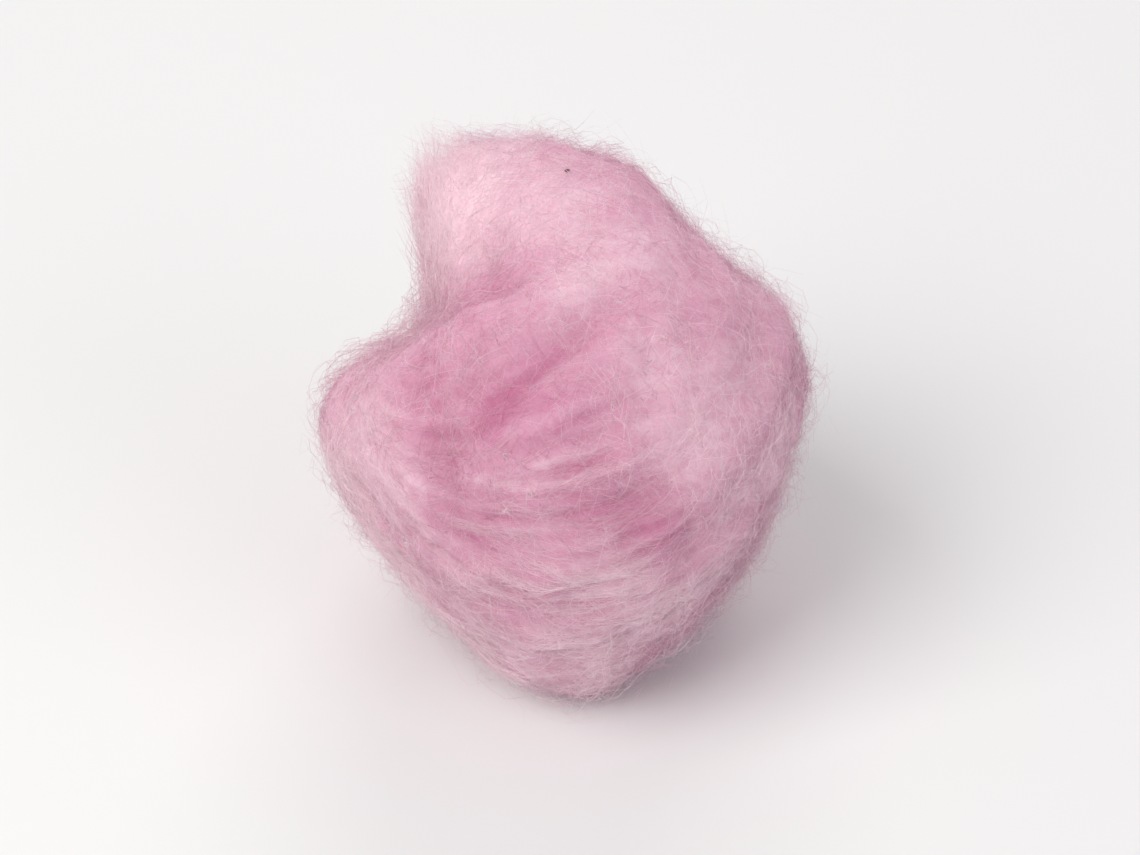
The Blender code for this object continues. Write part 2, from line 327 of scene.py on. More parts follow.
@dataclass
class BallForm:
    """The ball's shape as a function of direction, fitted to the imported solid's box."""

    width: float = 0.0306
    length: float = 0.0336
    depth: float = 0.0306
    face_lean: float = math.radians(38.0)
    flat_sink: float = 0.0017
    flat_softness: float = 0.0007
    flat_cut_share: float = 0.45
    winding_pole: Triple = (-0.30, 0.66, 0.69)
    winding_spacing: float = 0.0054
    lay_pole: Triple = (-0.44, 0.88, 0.18)
    guides: tuple[LayGuide, ...] = LAY_GUIDES
    unguided_share: float = 0.16
    winding_height: float = 0.00018
    winding_middle: float = 1.45
    winding_reach: float = 0.60
    uneven_height: float = 0.00028
    uneven_waves: tuple[Triple, ...] = (
        (3.1, 1.7, -2.2),
        (-1.9, 3.4, 1.3),
        (2.4, -2.6, 2.9),
        (-3.7, -1.2, 2.1),
    )
    swells: tuple[Swell, ...] = tuple(SWELLS.values())
    folds: tuple[Fold, ...] = tuple(FOLDS.values())
    clump_height: float = 0.00009
    tuft_clump_height: float = 0.00026
    tuft_fluff_height: float = 0.00006
    clump_size: float = 0.0042
    fluff_height: float = 0.000030
    fluff_size: float = 0.0016
    strand_height: float = 0.000085
    strand_width: float = 0.0014
    fine_strand_width: float = 0.0007
    fine_strand_share: float = 0.5
    dye_width: float = 0.0011
    least_clarity: float = 0.30
    most_clarity: float = 1.1
    level: float = 0.0
    shift: np.ndarray = field(default_factory=lambda: np.zeros(3))

    def __post_init__(self) -> None:
        """Makes the noises that every method shares."""
        self.clumps = SoftNoise(11, self.clump_size)
        self.strands = SoftNoise(12, self.strand_width)
        self.fine_strands = SoftNoise(13, self.fine_strand_width)
        self.dye = SoftNoise(15, self.dye_width)
        self.fluff = SoftNoise(16, self.fluff_size)

    @property
    def radius(self) -> float:
        """A mean radius, which turns angles on the ball into lengths along it."""
        return (self.width + self.length + self.depth) / 6.0

    @property
    def axes(self) -> np.ndarray:
        """The face's axes.

        Returns:
            Across the face, up the face and out of the face, as rows in the part's own axes.
        """
        up_face = (0.0, math.sin(self.face_lean), math.cos(self.face_lean))
        out_of_face = (0.0, -math.cos(self.face_lean), math.sin(self.face_lean))
        return np.array(((1.0, 0.0, 0.0), up_face, out_of_face))

    @property
    def lay_centre(self) -> np.ndarray:
        """The direction that the fibres lie round where no guide is near."""
        return unit(np.array(self.lay_pole))

    def lay(self, at: np.ndarray) -> np.ndarray:
        """The way the fibres lie at each direction.

        Formula: the way round the lay pole with a small weight, plus each guide's way times its share, all
        laid flat on the ball and made unit.

        Args:
            at: unit rows in face axes.

        Returns:
            Unit rows square to them.
        """
        way = self.unguided_share * unit(np.cross(self.lay_centre, at) + TINY)
        for guide in self.guides:
            way = way + guide.share(at)[:, None] * unit(np.array(guide.way))
        return unit(way - np.einsum("ij,ij->i", way, at)[:, None] * at)

    def combed(self, at: np.ndarray, steps: int = 5, step: float = 0.00055) -> np.ndarray:
        """The strand and dye noises drawn out along the lay, so that their lumps become strands.

        Formula: the mean of each noise at the direction and at even steps along the lay both ways, times a
        number that brings its spread back to about two thirds.

        Args:
            at: unit rows in face axes.
            steps: how many steps each way.
            step: length of a step in metres.

        Returns:
            Rows of three: broad strands, fine strands and dye, each mostly between minus two and two.
        """
        noises = (self.strands, self.fine_strands, self.dye)
        total = np.column_stack([noise.at(at * self.radius) for noise in noises])
        for sense in (1.0, -1.0):
            place = at
            for _ in range(steps):
                place = unit(place + sense * step / self.radius * self.lay(place))
                total += np.column_stack([noise.at(place * self.radius) for noise in noises])
        gains = [math.sqrt(1.0 + 2.0 * steps * step / noise.wavelength) for noise in noises]
        return total / (2 * steps + 1) * gains

    def clarity(self, directions: np.ndarray) -> np.ndarray:
        """How plainly strands show: a little everywhere, more at each plain place, less at each calm one.

        Args:
            directions: unit rows in face axes.

        Returns:
            One share for each direction, between 0 and 1.1.
        """
        share = np.full(len(directions), self.least_clarity)
        for place in STRAND_PLACES:
            share += place.at(directions)
        return np.clip(share, 0.0, self.most_clarity)

    def shape(self, directions: np.ndarray, strands: np.ndarray | None = None) -> np.ndarray:
        """Points of the ball about its middle, in the part's axes, before it settles.

        Formula: direction times (ellipsoid radius + swells + folds + winding rings + slow waves), plus each
        fold's sideways reach. With strands, the relief of clumps, fluff and ridges is added to the radius.

        Args:
            directions: unit rows in face axes.
            strands: rows from combed where the small clumps and ridges are wanted.

        Returns:
            Rows of three coordinates in metres.
        """
        half_sizes = np.array((self.width, self.length, self.depth)) / 2.0
        radius = 1.0 / np.linalg.norm(directions / half_sizes, axis=1)
        for swell in self.swells:
            radius += swell.at(directions)
        lean = np.zeros_like(directions)
        for fold in self.folds:
            place = fold.place(directions, self.radius)
            radius += fold.height(place)
            lean += fold.reach(place)
        radius += self.winding_rings(directions) + self.slow_waves(directions)
        if strands is not None:
            radius += self.relief(directions, strands)
        return (directions * radius[:, None] + lean) @ self.axes

    def winding_rings(self, directions: np.ndarray) -> np.ndarray:
        """Shallow rings round the winding pole, strongest about a quarter of a turn from it.

        Formula: height times a bell on the angle from the pole, about its middle angle, times the cosine of a
        full turn for each spacing along the ball.

        Args:
            directions: unit rows in face axes.

        Returns:
            Metres to add to the radius.
        """
        pole = unit(np.array(self.winding_pole))
        from_pole = np.arccos(np.clip(directions @ pole, -1.0, 1.0))
        strength = np.exp(-(((from_pole - self.winding_middle) / self.winding_reach) ** 2))
        rings = np.cos(2.0 * math.pi * from_pole * self.radius / self.winding_spacing)
        return self.winding_height * strength * rings

    def slow_waves(self, directions: np.ndarray) -> np.ndarray:
        """Slow waves that keep the ball from being regular: height times twice the mean of the sines."""
        waves = np.sin(directions @ np.array(self.uneven_waves).T + np.arange(len(self.uneven_waves)))
        return self.uneven_height * waves.mean(axis=1) * 2.0

    def relief(self, directions: np.ndarray, strands: np.ndarray) -> np.ndarray:
        """Clumps and fluff by plain noise, plus ridges by the broad strands and a share of the fine ones.

        Args:
            directions: unit rows in face axes.
            strands: rows from combed.

        Returns:
            Metres to add to the radius. Clumps and fluff stand higher on the tuft.
        """
        ridges = (strands[:, 0] + self.fine_strand_share * strands[:, 1]) * self.clarity(directions)
        places = directions * self.radius
        tuft = TUFT_LUMPS.share(directions)
        clump_height = self.clump_height + self.tuft_clump_height * tuft
        fluff_height = self.fluff_height + self.tuft_fluff_height * tuft
        lumps = clump_height * self.clumps.at(places) + fluff_height * self.fluff.at(places)
        return lumps + self.strand_height * ridges

    def crease_shade_share(self, directions: np.ndarray) -> np.ndarray:
        """How much painted shade each direction gets in the creases: the largest of the folds' shades."""
        shades = [fold.shade(fold.place(directions, self.radius)) for fold in self.folds]
        return np.max(shades, axis=0)

    def fit(self, directions: np.ndarray, low: np.ndarray, high: np.ndarray) -> None:
        """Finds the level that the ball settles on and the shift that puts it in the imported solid's box.

        Args:
            directions: a dense set over the whole ball.
            low: lowest corner of the box.
            high: highest corner of the box.
        """
        points = self.shape(directions)
        self.level = points[:, 2].min() + self.flat_sink
        settled = self.settle(points)
        middle = (settled.min(axis=0) + settled.max(axis=0)) / 2.0
        box_middle = (low + high) / 2.0
        cut_height = self.level + self.flat_cut_share * self.flat_softness
        self.shift = np.array((box_middle[0] - middle[0], box_middle[1] - middle[1], low[2] - cut_height))

    def settle(self, points: np.ndarray) -> np.ndarray:
        """Eases low points onto the level: level + softness * log(1 + exp(height above it / softness)).

        Args:
            points: rows of three coordinates.

        Returns:
            The same rows, none of them under the level.
        """
        settled = points.copy()
        above = (points[:, 2] - self.level) / self.flat_softness
        settled[:, 2] = self.level + self.flat_softness * np.logaddexp(0.0, above)
        return settled

    def stand(self, points: np.ndarray, clearance: float = 0.0) -> np.ndarray:
        """Settled points moved into the box, never under its bottom.

        Args:
            points: rows from shape, moved outwards or not.
            clearance: least height above the bottom, in metres.

        Returns:
            Rows in the part's frame.
        """
        placed = self.settle(points) + self.shift
        placed[:, 2] = np.maximum(placed[:, 2], clearance)
        return placed


@dataclass
class SphereGrid:
    """Six square grids that cover a ball evenly, like the faces of a blown-up cube.

    On the map the six lie in three columns and two rows, each with a margin round it.
    """

    cells: int = 88
    map_margin: float = 0.02
    map_columns_rows: tuple[float, float] = (3.0, 2.0)
    same_within_places: int = 7

    def face(self, axis: int, sign: float) -> np.ndarray:
        """One face's directions: tan of even angles along both edges, with one along the axis, made unit.

        Args:
            axis: 0, 1 or 2.
            sign: which end of the axis.

        Returns:
            An array of rows, cells + 1 squared.
        """
        steps = np.tan(np.linspace(-math.pi / 4.0, math.pi / 4.0, self.cells + 1))
        first, second = np.meshgrid(steps, steps, indexing="ij")
        rows = np.stack((np.full(first.shape, sign), first, second * sign), axis=-1)
        return unit(np.roll(rows, axis, axis=-1).reshape(-1, 3))

    def build(self) -> tuple[np.ndarray, np.ndarray, np.ndarray]:
        """All faces joined, with shared edges made one.

        Returns:
            Unique directions, the triangles between them, and each triangle corner's place on the map.
        """
        side = self.cells + 1
        index = np.arange(side * side).reshape(side, side)
        corner = [index[:-1, :-1], index[1:, :-1], index[1:, 1:], index[:-1, 1:]]
        quads = np.stack([part.reshape(-1) for part in corner], axis=1)
        spots = np.stack(np.meshgrid(*[np.linspace(0.0, 1.0, side)] * 2, indexing="ij"), axis=-1)
        spots = self.map_margin + (1.0 - 2.0 * self.map_margin) * spots.reshape(-1, 2)
        directions, triangles, places = [], [], []
        for number in range(6):
            axis, sign = number % 3, 1.0 if number < 3 else -1.0
            directions.append(self.face(axis, sign))
            tri = np.concatenate((quads[:, [0, 1, 2]], quads[:, [0, 2, 3]]))
            triangles.append(tri + number * side * side)
            places.append(((spots + (axis, number // 3)) / self.map_columns_rows)[tri].reshape(-1, 2))
        rows = np.concatenate(directions)
        near = np.round(rows, self.same_within_places)
        _, first_of, joined = np.unique(near, axis=0, return_index=True, return_inverse=True)
        return rows[first_of], joined.reshape(-1)[np.concatenate(triangles)], np.concatenate(places)


def make_mesh(
    name: str,
    points: np.ndarray,
    triangles: np.ndarray,
    places: np.ndarray,
    attributes: dict[str, np.ndarray],
) -> bpy.types.Object:
    """Puts arrays into a smooth mesh object at the origin.

    Args:
        name: the piece's name.
        points: rows of three coordinates.
        triangles: rows of three point numbers.
        places: a place on the map for each triangle corner, in order.
        attributes: named values, one number for each point.

    Returns:
        The linked object.
    """
    mesh = bpy.data.meshes.new(name)
    mesh.vertices.add(len(points))
    mesh.vertices.foreach_set("co", points.astype(np.float32).ravel())
    mesh.loops.add(3 * len(triangles))
    mesh.loops.foreach_set("vertex_index", triangles.astype(np.int32).ravel())
    mesh.polygons.add(len(triangles))
    mesh.polygons.foreach_set("loop_start", np.arange(0, 3 * len(triangles), 3, dtype=np.int32))
    mesh.polygons.foreach_set("use_smooth", np.ones(len(triangles), dtype=bool))
    bake_map = mesh.uv_layers.new(name="OFBake")
    bake_map.data.foreach_set("uv", places.astype(np.float32).ravel())
    for title, values in attributes.items():
        layer = mesh.attributes.new(title, "FLOAT", "POINT")
        layer.data.foreach_set("value", values.astype(np.float32))
    mesh.update(calc_edges=True)
    mesh.validate()
    piece = bpy.data.objects.new(name, mesh)
    bpy.context.scene.collection.objects.link(piece)
    return piece


DEEP_PINK: Triple = (0.61, 0.23, 0.37)
ROSE_PINK: Triple = (0.68, 0.365, 0.485)
SOFT_PINK: Triple = (0.78, 0.535, 0.625)
PALE_PINK: Triple = (0.87, 0.675, 0.735)
CREAM_PINK: Triple = (0.95, 0.77, 0.83)
PALEST_AT = 1.3
DYE_STOPS = (
    (0.0, DEEP_PINK),
    (0.4, ROSE_PINK),
    (0.7, SOFT_PINK),
    (1.0, PALE_PINK),
    (PALEST_AT, CREAM_PINK),
)
NOISE_RANGE = (0.3, 0.7)


class Shade:
    """A node material under construction, with short calls for the nodes this part needs."""

    def __init__(self, name: str) -> None:
        """Starts an empty material with one Principled shader.

        Args:
            name: the material's name.
        """
        self.material = bpy.data.materials.new(name)
        self.material.use_nodes = True
        self.tree = self.material.node_tree
        self.shader = self.tree.nodes["Principled BSDF"]

    def node(self, kind: str, **settings: object) -> bpy.types.Node:
        """Adds a node and sets its properties.

        Args:
            kind: the node's type.
            settings: its properties by name.

        Returns:
            The node.
        """
        made = self.tree.nodes.new(kind)
        for title, value in settings.items():
            setattr(made, title, value)
        return made

    def link(self, source: bpy.types.NodeSocket, target: bpy.types.NodeSocket) -> None:
        """Joins two sockets."""
        self.tree.links.new(source, target)

    def attribute(self, title: str) -> bpy.types.NodeSocket:
        """The value that the mesh carries under a name."""
        return self.node("ShaderNodeAttribute", attribute_name=title).outputs["Fac"]

    def object_place(self) -> bpy.types.NodeSocket:
        """Object coordinates."""
        return self.node("ShaderNodeTexCoord").outputs["Object"]

    def noise(self, place: bpy.types.NodeSocket, scale: float, detail: float) -> bpy.types.NodeSocket:
        """Noise texture, from 0 to 1.

        Args:
            place: coordinates.
            scale: lumps to a metre.
            detail: octaves.

        Returns:
            The noise socket.
        """
        made = self.node("ShaderNodeTexNoise")
        made.inputs["Scale"].default_value = scale
        made.inputs["Detail"].default_value = detail
        self.link(place, made.inputs["Vector"])
        return made.outputs["Fac"]

    def spread(
        self, value: bpy.types.NodeSocket, low: float, high: float, to_low: float, to_high: float
    ) -> bpy.types.NodeSocket:
        """A clamped straight map of one range onto another.

        Args:
            value: the socket to map.
            low: lowest value in.
            high: highest value in.
            to_low: what the lowest becomes.
            to_high: what the highest becomes.

        Returns:
            The mapped socket.
        """
        made = self.node("ShaderNodeMapRange")
        self.link(value, made.inputs["Value"])
        for title, number in (("From Min", low), ("From Max", high), ("To Min", to_low), ("To Max", to_high)):
            made.inputs[title].default_value = number
        return made.outputs["Result"]

    def sum(self, first: bpy.types.NodeSocket, second: bpy.types.NodeSocket) -> bpy.types.NodeSocket:
        """Two values added.

        Args:
            first: one socket.
            second: the other.

        Returns:
            Their sum.
        """
        made = self.node("ShaderNodeMath", operation="ADD")
        self.link(first, made.inputs[0])
        self.link(second, made.inputs[1])
        return made.outputs[0]

    def unevenness(self, noise: bpy.types.NodeSocket, amount: float) -> bpy.types.NodeSocket:
        """A noise's middle range mapped to plus or minus an amount."""
        return self.spread(noise, *NOISE_RANGE, -amount, amount)

    def ramp(
        self, value: bpy.types.NodeSocket, stops: tuple[tuple[float, Triple], ...]
    ) -> bpy.types.NodeSocket:
        """Colours between stops, smoothly blended.

        Args:
            value: the socket that picks the colour.
            stops: positions from 0 to 1 with their colours.

        Returns:
            The colour socket.
        """
        made = self.node("ShaderNodeValToRGB")
        made.color_ramp.interpolation = "EASE"
        stones = made.color_ramp.elements
        while len(stones) < len(stops):
            stones.new(0.5)
        for stone, (position, colour) in zip(stones, stops):
            stone.position = position
            stone.color = (*colour, 1.0)
        self.link(value, made.inputs["Fac"])
        return made.outputs["Color"]

    def dye(self, paleness: bpy.types.NodeSocket) -> bpy.types.NodeSocket:
        """The cotton's colour: the paleness over that of the palest stop picks it from the stops.

        Args:
            paleness: how pale the cotton is drawn at each place, painted shade and highlight included.

        Returns:
            The colour socket.
        """
        stops = tuple((position / PALEST_AT, colour) for position, colour in DYE_STOPS)
        return self.ramp(self.spread(paleness, 0.0, PALEST_AT, 0.0, 1.0), stops)


@dataclass(frozen=True)
class CottonFinish:
    """Matte dyed cotton: what the body and every fibre share."""

    roughness: float = 0.92
    sheen: float = 0.35
    sheen_roughness: float = 0.45
    sheen_tint: Triple = (1.0, 0.78, 0.86)
    specular: float = 0.05
    scatter: float = 0.55
    scatter_colour: Triple = (1.0, 0.62, 0.72)
    scatter_depth: float = 0.0016

    def apply(self, shade: Shade) -> None:
        """Sets the uniform values on the shader's own sockets.

        Args:
            shade: the material to set.
        """
        inputs = shade.shader.inputs
        inputs["Roughness"].default_value = self.roughness
        inputs["Sheen Weight"].default_value = self.sheen
        inputs["Sheen Roughness"].default_value = self.sheen_roughness
        inputs["Sheen Tint"].default_value = (*self.sheen_tint, 1.0)
        inputs["Specular IOR Level"].default_value = self.specular
        inputs["Subsurface Weight"].default_value = self.scatter
        inputs["Subsurface Radius"].default_value = self.scatter_colour
        inputs["Subsurface Scale"].default_value = self.scatter_depth


@dataclass(frozen=True)
class PackedFibreFinish:
    """The body's finish: streaks along the winding, deeper pink painted in the creases as shade, paler on the
    tuft.
    """

    name: str = "packed_cotton"
    cotton: CottonFinish = CottonFinish()
    fluff_scale: float = 1300.0
    fine_scale: float = 4200.0
    patch_scale: float = 190.0
    lump_octaves: float = 3.0
    fine_octaves: float = 2.0
    fluff_dye: float = 0.07
    patch_dye: float = 0.12
    bump_distance: float = 0.00016
    bump_strength: float = 0.35

    def make(self) -> bpy.types.Material:
        """Builds the node material.

        Returns:
            The material.
        """
        shade = Shade(self.name)
        self.cotton.apply(shade)
        place = shade.object_place()
        fluff = shade.noise(place, self.fluff_scale, self.lump_octaves)
        fine = shade.noise(place, self.fine_scale, self.fine_octaves)
        patch = shade.noise(place, self.patch_scale, self.lump_octaves)
        value = shade.sum(
            shade.attribute("paleness"),
            shade.sum(shade.unevenness(fluff, self.fluff_dye), shade.unevenness(patch, self.patch_dye)),
        )
        shade.link(shade.dye(value), shade.shader.inputs["Base Color"])
        bump = shade.node("ShaderNodeBump")
        bump.inputs["Distance"].default_value = self.bump_distance
        bump.inputs["Strength"].default_value = self.bump_strength
        shade.link(shade.sum(fluff, fine), bump.inputs["Height"])
        shade.link(bump.outputs["Normal"], shade.shader.inputs["Normal"])
        return shade.material


@dataclass(frozen=True)
class SingleFibreFinish:
    """A fibre's finish: its own tint, with slow changes of dye over the ball."""

    name: str
    cotton: CottonFinish = CottonFinish(scatter=0.0, sheen=0.1)
    patch_scale: float = 230.0
    octaves: float = 2.0
    patch_dye: float = 0.1

    def make(self) -> bpy.types.Material:
        """Builds the node material.

        Returns:
            The material.
        """
        shade = Shade(self.name)
        self.cotton.apply(shade)
        patch = shade.noise(shade.object_place(), self.patch_scale, self.octaves)
        value = shade.sum(shade.attribute("paleness"), shade.unevenness(patch, self.patch_dye))
        shade.link(shade.dye(value), shade.shader.inputs["Base Color"])
        return shade.material


@dataclass
class BallBody:
    """The packed fibre under the loose fibres, which carries the ball's whole form."""

    form: BallForm
    grid: SphereGrid = field(default_factory=SphereGrid)
    finish: PackedFibreFinish = PackedFibreFinish()
    fill: float = 0.7

    def build(self) -> bpy.types.Object:
        """Makes the body mesh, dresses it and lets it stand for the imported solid.

        Returns:
            The finished piece.
        """
        directions, triangles, places = self.grid.build()
        low, high = (np.array(corner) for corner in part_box(NODE))
        self.form.fit(directions, low, high)
        strands = self.form.combed(directions)
        points = self.form.stand(self.form.shape(directions, strands))
        # Paleness carries painted shade in the creases and painted highlight on the ridge tops and pale
        # places.
        attributes = {"paleness": paleness(self.form, directions, strands)}
        piece = make_mesh("packed_fibre_body", points, triangles, places, attributes)
        piece.data.materials.append(self.finish.make())
        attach(piece, ROOT_BODY)
        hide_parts(NODE)
        return piece


# Paleness runs from 0 to that of the palest dye, and these heights are added to its base.
BASE_PALENESS = 0.42
# Paler tops of the broad strand ridges are a painted highlight; the dye share gives real streaks.
STREAK_HIGHLIGHT_AND_DYE = 0.07
# Deeper pink painted into the creases as shade, taken off the paleness.
CREASE_PAINTED_SHADE = 0.26
# Patches of paler fluff, and in part painted highlight where the light falls, most on the tuft and the left
# roll; the one below zero makes the face's middle darker.
PALE_PLACES = (
    Swell((-0.42, 0.86, 0.30), 0.25, 0.60),
    Swell((-0.83, -0.10, 0.55), 0.28, 0.24),
    Swell((-0.62, -0.76, 0.10), 0.34, 0.18),
    Swell((0.52, 0.04, 0.85), 0.22, 0.21),
    Swell((0.045, 0.57, 0.82), 0.10, 0.16),
    Swell((0.08, 0.74, 0.66), 0.20, 0.20),
    Swell((0.02, 0.36, 0.92), 0.20, 0.10),
    Swell((0.00, -0.92, 0.40), 0.24, 0.16),
    Swell((0.92, -0.20, 0.34), 0.30, 0.16),
    Swell((0.20, -0.60, 0.77), 0.20, 0.08),
    Swell((0.44, -0.70, 0.56), 0.20, 0.22),
    Swell((-0.06, 0.04, 1.00), 0.26, -0.13),
)


def paleness(form: BallForm, directions: np.ndarray, strands: np.ndarray) -> np.ndarray:
    """How pale the cotton is: least in a crease, middling on the open face, about 1 on the tuft.

    Formula: a base, plus a bell at each pale place, which is in part painted highlight, plus a share of the
    broad strands and the dye, a painted highlight on the ridge tops with real dye streaks, less the painted
    shade of the creases.

    Args:
        form: gives the folds and the ridges.
        directions: unit rows in face axes.
        strands: rows from the form's combed.

    Returns:
        One value for each direction.
    """
    value = np.full(len(directions), BASE_PALENESS)
    for place in PALE_PLACES:
        value += place.at(directions)
    # Painted highlight on the ridge tops, plus dye streaks.
    streaks = STREAK_HIGHLIGHT_AND_DYE * (strands[:, 0] + strands[:, 2]) * form.clarity(directions)
    # Less the painted shade of the creases.
    return value + streaks - CREASE_PAINTED_SHADE * form.crease_shade_share(directions)


class Lay(Enum):
    """How a kind of fibre lies on the ball."""

    WOUND = "wound"
    RIM = "rim"
    ARC = "arc"
    TANGLE = "tangle"
    FUZZ = "fuzz"
    TUFT = "tuft"
    STRAY = "stray"

    @property
    def has_free_end(self) -> bool:
        """Whether one end stands off the ball."""
        return self in (Lay.FUZZ, Lay.TUFT, Lay.STRAY)

    @property
    def runs_any_way(self) -> bool:
        """Whether each fibre sets out at its own angle, whichever way the cotton runs there."""
        return self in (Lay.TANGLE, Lay.FUZZ, Lay.STRAY)


@dataclass(frozen=True)
class FibreKind:
    """One kind of fibre: how many there are, how they are sized, how they lie and where.

    Lengths are in metres, as ranges. Tuck is how far the ends go under the surface, swirl and curl are turns
    in radians, and tint takes the place of the base in the paleness of the ball under the fibre. Where a kind
    has a place, its locks keep about it, and gather is how far their tips close up.
    """

    name: str
    lay: Lay
    locks: int
    rings: int
    length: tuple[float, float]
    thickness: tuple[float, float]
    lift: tuple[float, float]
    tuck: float
    curl: float
    tint: tuple[float, float]
    seed: int
    per_lock: int = 1
    lock_spread: float = 0.0
    swirl: float = 0.0
    place: Triple | None = None
    place_spread: float = 0.0
    gather: float = 0.0


@dataclass(frozen=True)
class FibreHabits:
    """What all kinds of fibre share: how unevenly they turn, curl, rise and taper.

    The spread of the turns off the lay grows by calm_turn times how far the clarity is under calm_below. The
    rim's locks lie within rim_turn round the face's middle, at rim_away from it: a mean angle and its spread.
    """

    drift_size: float = 0.007
    drift_turn: float = 0.14
    own_swirl: float = 0.45
    calm_below: float = 0.7
    calm_turn: float = 1.9
    curl_turns: tuple[float, float] = (0.6, 1.8)
    own_rise: tuple[float, float] = (0.5, 1.3)
    bell_power: float = 0.8
    free_power: tuple[float, float] = (0.8, 1.8)
    stray_power: float = 1.2
    stray_reach: float = 0.85
    tuck_power: int = 3
    wobble: float = 0.00004
    lying_end: float = 0.35
    lying_start: float = 0.12
    lying_span: float = 0.76
    free_taper: float = 0.7
    own_tint: float = 0.05
    rim_turn: tuple[float, float] = (math.radians(184.0), math.radians(256.0))
    rim_away: tuple[float, float] = (math.radians(78.0), math.radians(7.0))


@dataclass
class FibreLayer:
    """Builds one kind of fibre over the ball."""

    form: BallForm
    kind: FibreKind
    habits: FibreHabits = FibreHabits()

    def __post_init__(self) -> None:
        """Starts this layer's own draw of random numbers."""
        self.draw = np.random.default_rng(self.kind.seed)
        self.drift = SoftNoise(self.kind.seed + 1, self.habits.drift_size)

    def starts(self) -> np.ndarray:
        """Where each fibre's middle lies: a lock's middle plus a small spread.

        Returns:
            Unit rows in face axes, one for each fibre.
        """
        kind = self.kind
        middles = unit(self.draw.normal(size=(kind.locks, 3)))  # drawn even where a place replaces them
        if kind.place is not None:
            near = self.draw.normal(scale=kind.place_spread, size=(kind.locks, 3))
            middles = unit(unit(np.array(kind.place)) + near)
        if kind.lay is Lay.RIM:
            middles = self.rim_middles()
        each = np.repeat(middles, kind.per_lock, axis=0)
        jitter = self.draw.normal(scale=kind.lock_spread / self.form.radius, size=each.shape)
        return unit(each + jitter)

    def rim_middles(self) -> np.ndarray:
        """Lock middles along the left roll's edge, from the waist round to the chin.

        Returns:
            Unit rows in face axes.
        """
        turn = self.draw.uniform(*self.habits.rim_turn, self.kind.locks)
        away = self.draw.normal(*self.habits.rim_away, self.kind.locks)
        return np.column_stack((np.cos(turn) * np.sin(away), np.sin(turn) * np.sin(away), np.cos(away)))

    def run(self, at: np.ndarray) -> np.ndarray:
        """The way the cotton runs at each direction: by the guides, along the rim, or up the tuft.

        Args:
            at: unit rows in face axes.

        Returns:
            Unit rows square to them.
        """
        if self.kind.lay is Lay.RIM:
            return unit(np.cross((0.0, 0.0, 1.0), at) + TINY)
        if self.kind.lay is not Lay.TUFT:
            return self.form.lay(at)
        tip = unit(np.array(SWELLS["tuft tip"].centre))
        to_tip = tip - (at @ tip)[:, None] * at
        share = SWELLS["tuft"].share(at)[:, None]
        return unit((1.0 - share) * self.form.lay(at) + share * to_tip)

    def paths(self) -> tuple[np.ndarray, np.ndarray]:
        """Walks each fibre over the ball from its middle both ways.

        Formula: each step adds the run, turned by the fibre's own angle, a slow drift and its curl, times the
        step length. The own angle is any angle for the kinds that run any way.

        Returns:
            Directions and lifts, shaped fibres by rings by three, and fibres by rings.
        """
        kind, habits = self.kind, self.habits
        middle = self.starts()
        count = len(middle)
        lengths = self.draw.uniform(*kind.length, count)
        own_turn = np.repeat(self.draw.normal(scale=kind.swirl, size=kind.locks), kind.per_lock)
        own_turn = own_turn + self.draw.normal(scale=habits.own_swirl * kind.swirl, size=count)
        astray = np.clip(habits.calm_below - self.form.clarity(middle), 0.0, 1.0)
        own_turn = own_turn + astray * self.draw.normal(scale=habits.calm_turn, size=count)
        if kind.lay.runs_any_way:
            own_turn = self.draw.uniform(-math.pi, math.pi, count)
        curl_phase = self.draw.uniform(0.0, 2.0 * math.pi, count)
        curl_turns = self.draw.uniform(*habits.curl_turns, count)
        step = lengths / (kind.rings - 1) / self.form.radius
        half = (kind.rings - 1) // 2
        directions = np.empty((count, kind.rings, 3))
        directions[:, half] = middle
        for sense, order in ((1.0, range(half, kind.rings - 1)), (-1.0, range(half, 0, -1))):
            at = middle
            for ring in order:
                along = ring / (kind.rings - 1)
                drift = habits.drift_turn * self.drift.at(at * self.form.radius)
                curl = kind.curl * np.sin(2.0 * math.pi * curl_turns * along + curl_phase)
                turn = (own_turn + drift + curl)[:, None]
                forward = self.run(at)
                sideways = np.cross(at, forward)
                at = unit(at + sense * step[:, None] * (np.cos(turn) * forward + np.sin(turn) * sideways))
                directions[:, ring + int(sense)] = at
        return directions, self.lifts(count)

    def lifts(self, count: int) -> np.ndarray:
        """Height of each ring above the surface, in metres.

        Formula: a bell along a lying fibre, part of a bell along a stray one, and a power of how far along it
        is for a free one, times the fibre's top. The ends that lie in the cotton go under by the tuck.

        Args:
            count: number of fibres.

        Returns:
            An array of fibres by rings.
        """
        kind, habits = self.kind, self.habits
        along = np.linspace(0.0, 1.0, kind.rings)[None, :]
        top = np.repeat(self.draw.uniform(*kind.lift, kind.locks), kind.per_lock)[:, None]
        top = top * self.draw.uniform(*habits.own_rise, (count, 1))
        if not kind.lay.has_free_end:
            bell = np.sin(math.pi * along) ** habits.bell_power
            return top * bell - kind.tuck * (1.0 - bell)
        tuck = kind.tuck * (1.0 - along) ** habits.tuck_power
        if kind.lay is Lay.STRAY:
            return top * np.sin(habits.stray_reach * math.pi * along) ** habits.stray_power - tuck
        return top * along ** self.draw.uniform(*habits.free_power, (count, 1)) - tuck

    def taper(self) -> np.ndarray:
        """How thick each ring is, as a share of the fibre's thickness.

        Formula: an even fall towards a free end, or part of a sine arch over a lying fibre.

        Returns:
            One row, with a share for each ring.
        """
        kind, habits = self.kind, self.habits
        along = np.linspace(0.0, 1.0, kind.rings)[None, :]
        if kind.lay.has_free_end:
            return 1.0 - habits.free_taper * along
        arch = np.sin(math.pi * (habits.lying_start + habits.lying_span * along))
        return habits.lying_end + (1.0 - habits.lying_end) * arch

